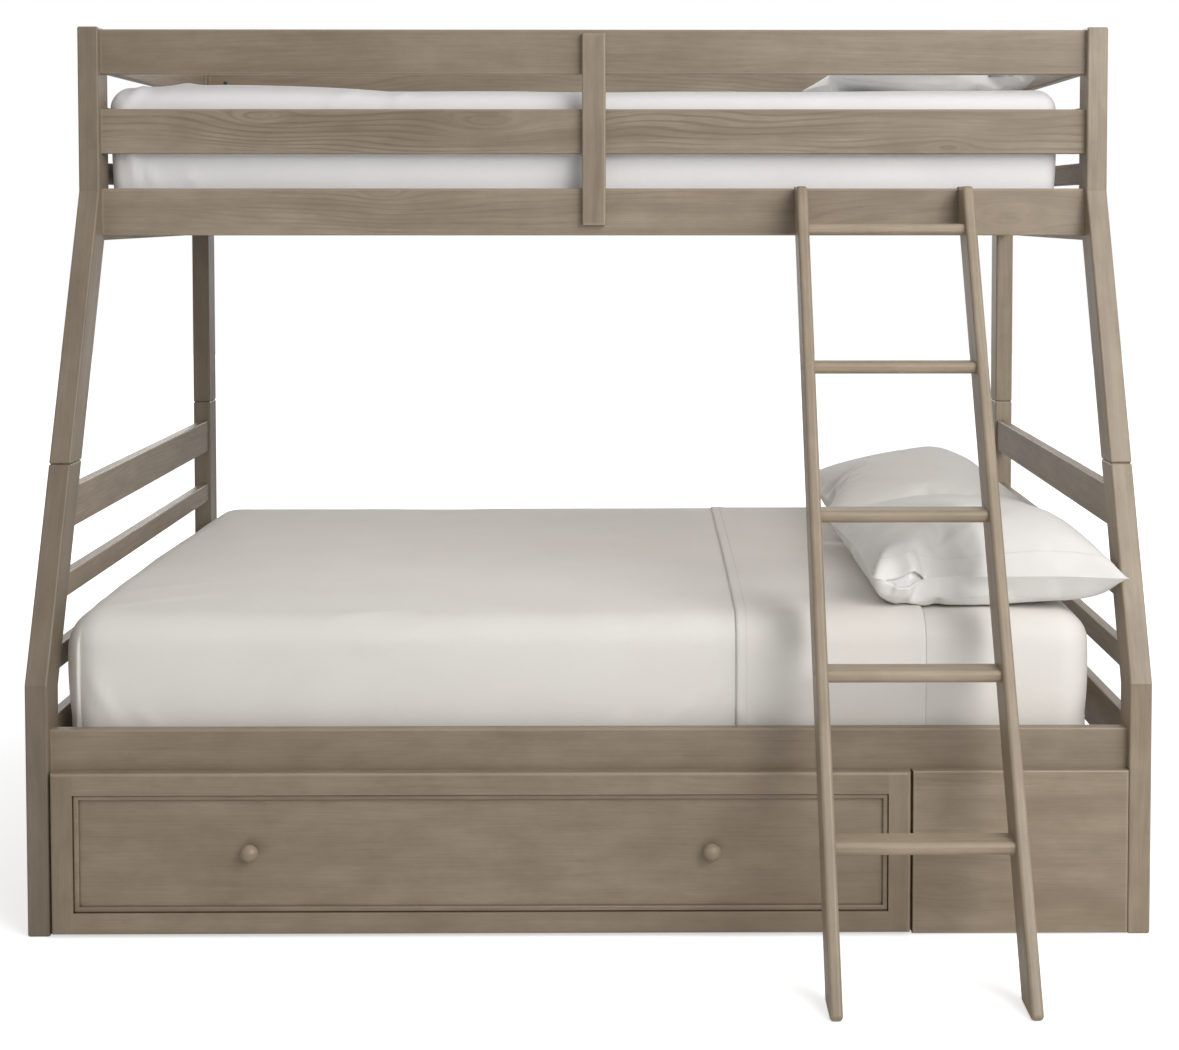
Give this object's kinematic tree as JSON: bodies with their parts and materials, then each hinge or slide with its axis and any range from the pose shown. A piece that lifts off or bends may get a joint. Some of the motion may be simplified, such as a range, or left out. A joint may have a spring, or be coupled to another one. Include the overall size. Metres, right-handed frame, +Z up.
{
  "type": "bunk bed",
  "caption": "Twin-over-full bunk bed with kinked front posts, guard rails, a leaning hook-on ladder, an under-bed drawer on casters and bedding",
  "frame": {"origin": "on the floor under the middle of the bounding box, the ladder's feet included", "axes": "+X runs along the bed towards its right end, +Y from the ladder side to the back, +Z up"},
  "size_m": [2.045, 1.855, 1.684],
  "materials": {
    "stained_wood": "satin",
    "plain_wood": "matte",
    "dark_steel": "satin",
    "zinc_steel": "satin",
    "caster_plastic": "matte",
    "mattress_fabric": "matte",
    "sheet_fabric": "matte",
    "pillow_fabric": "matte"
  },
  "bodies": {
    "bed": {"lower_post_front_left": "stained_wood", "lower_post_front_right": "stained_wood", "lower_post_back_left": "stained_wood", "lower_post_back_right": "stained_wood", "upper_post_front_left": "stained_wood", "upper_post_front_right": "stained_wood", "upper_post_back_left": "stained_wood", "upper_post_back_right": "stained_wood", "lower_end_rails_left": "stained_wood", "lower_end_rails_right": "stained_wood", "upper_end_rails_left": "stained_wood", "upper_end_rails_right": "stained_wood", "upper_side_rail_front": "stained_wood", "upper_side_rail_back": "stained_wood", "guard_rail_top_front": "stained_wood", "guard_rail_top_back": "stained_wood", "guard_rail_middle_front": "stained_wood", "guard_rail_middle_back": "stained_wood", "guard_batten_front": "stained_wood", "guard_batten_back": "stained_wood", "lower_side_rail_front": "stained_wood", "lower_side_rail_back": "stained_wood", "filler_panel": "stained_wood", "stacking_dowels": "plain_wood", "upper_slats": "plain_wood", "lower_slats": "plain_wood", "upper_slat_ledges": "plain_wood", "lower_slat_ledges": "plain_wood", "centre_beam": "plain_wood", "centre_legs": "plain_wood", "filler_cleat": "plain_wood", "rail_bolts": "dark_steel", "batten_bolts": "dark_steel", "barrel_nuts": "dark_steel", "lower_mattress": "mattress_fabric", "upper_mattress": "mattress_fabric", "top_sheet": "sheet_fabric", "pillow_front": "pillow_fabric", "pillow_rear": "pillow_fabric", "pillow_upper": "pillow_fabric"},
    "drawer": {"drawer_front_frame": "stained_wood", "drawer_front_panel": "stained_wood", "drawer_bead": "stained_wood", "knob_left": "stained_wood", "knob_right": "stained_wood", "drawer_side_left": "plain_wood", "drawer_side_right": "plain_wood", "drawer_back": "plain_wood", "drawer_bottom": "plain_wood", "knob_screws": "zinc_steel", "caster_brackets": "zinc_steel", "caster_axles": "zinc_steel"},
    "front_casters": {"front_wheels": "caster_plastic"},
    "rear_casters": {"rear_wheels": "caster_plastic"},
    "ladder": {"ladder_stile_left": "stained_wood", "ladder_stile_right": "stained_wood", "ladder_rungs": "stained_wood", "ladder_hooks": "dark_steel", "ladder_bolts": "dark_steel"}
  },
  "joints": [
    {"name": "drawer_slide", "type": "slide", "parent": "bed", "child": "drawer", "axis": [0, -1, 0], "range_m": [0, 0.125]},
    {"name": "front_wheels_roll", "type": "hinge", "parent": "drawer", "child": "front_casters", "pos_m": [0, -0.45453, 0.02], "axis": [1, 0, 0], "continuous": true},
    {"name": "rear_wheels_roll", "type": "hinge", "parent": "drawer", "child": "rear_casters", "pos_m": [0, 0.06347, 0.02], "axis": [1, 0, 0], "continuous": true},
    {"name": "ladder_lift", "type": "slide", "parent": "bed", "child": "ladder", "axis": [0, 0, 1], "range_m": [0, 0.05]}
  ],
  "couplings": [
    {"joint": "front_wheels_roll", "follows": "drawer_slide", "rad_per_m": 50},
    {"joint": "rear_wheels_roll", "follows": "drawer_slide", "rad_per_m": 50}
  ]
}
